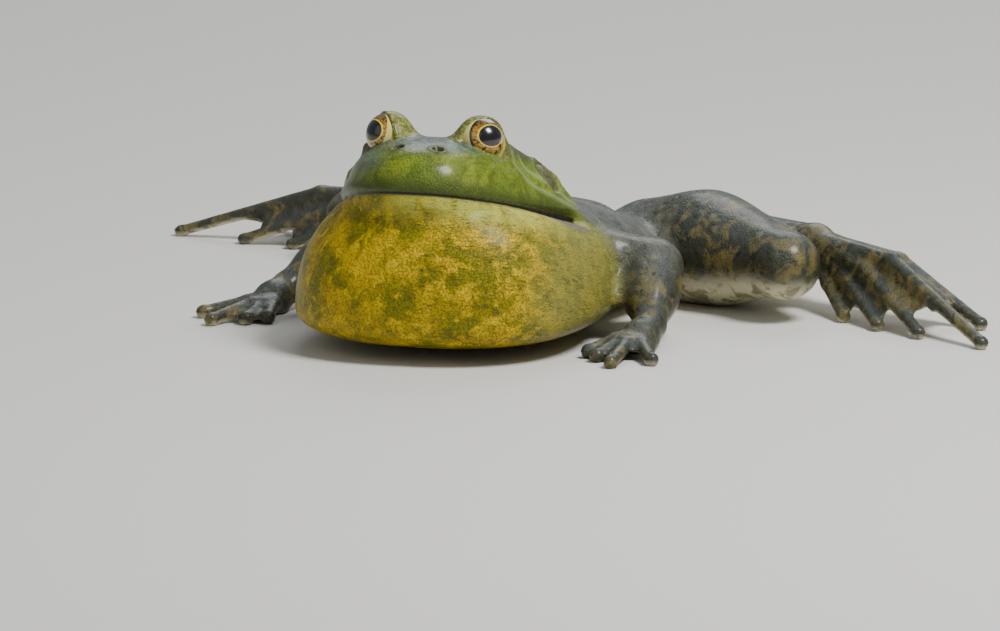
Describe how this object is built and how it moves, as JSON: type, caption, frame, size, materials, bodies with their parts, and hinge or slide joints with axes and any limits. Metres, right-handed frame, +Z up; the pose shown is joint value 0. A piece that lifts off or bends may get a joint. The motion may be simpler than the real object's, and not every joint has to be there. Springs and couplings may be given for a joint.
{
  "type": "bullfrog model",
  "caption": "Life-size still model of a male bullfrog lying on its belly, head raised and turned, throat full of air, hind legs drawn up to its sides.",
  "frame": {"origin": "middle of the underside of the bounding box, on the floor the frog rests on", "axes": "the trunk faces -Y, the frog's left is +X, +Z is up; the head is turned about 14 degrees to the frog's left"},
  "size_m": [0.296, 0.1778, 0.0679],
  "materials": {
    "head_skin": "wet olive-green skin",
    "throat_skin": "wet yellow wrinkled skin",
    "body_skin": "wet dark warty skin",
    "eardrum": "smooth brown skin",
    "eye": "wet gold and black"
  },
  "bodies": {
    "root": {"head": "head_skin", "throat": "throat_skin", "trunk": "body_skin", "eye_left": "eye", "eardrum_left": "eardrum", "upper_arm_left": "body_skin", "forearm_left": "body_skin", "hand_left": "body_skin", "thigh_left": "body_skin", "shank_left": "body_skin", "tarsus_left": "body_skin", "foot_left": "body_skin", "eye_right": "eye", "eardrum_right": "eardrum", "upper_arm_right": "body_skin", "forearm_right": "body_skin", "hand_right": "body_skin", "thigh_right": "body_skin", "shank_right": "body_skin", "tarsus_right": "body_skin", "foot_right": "body_skin"}
  },
  "joints": []
}
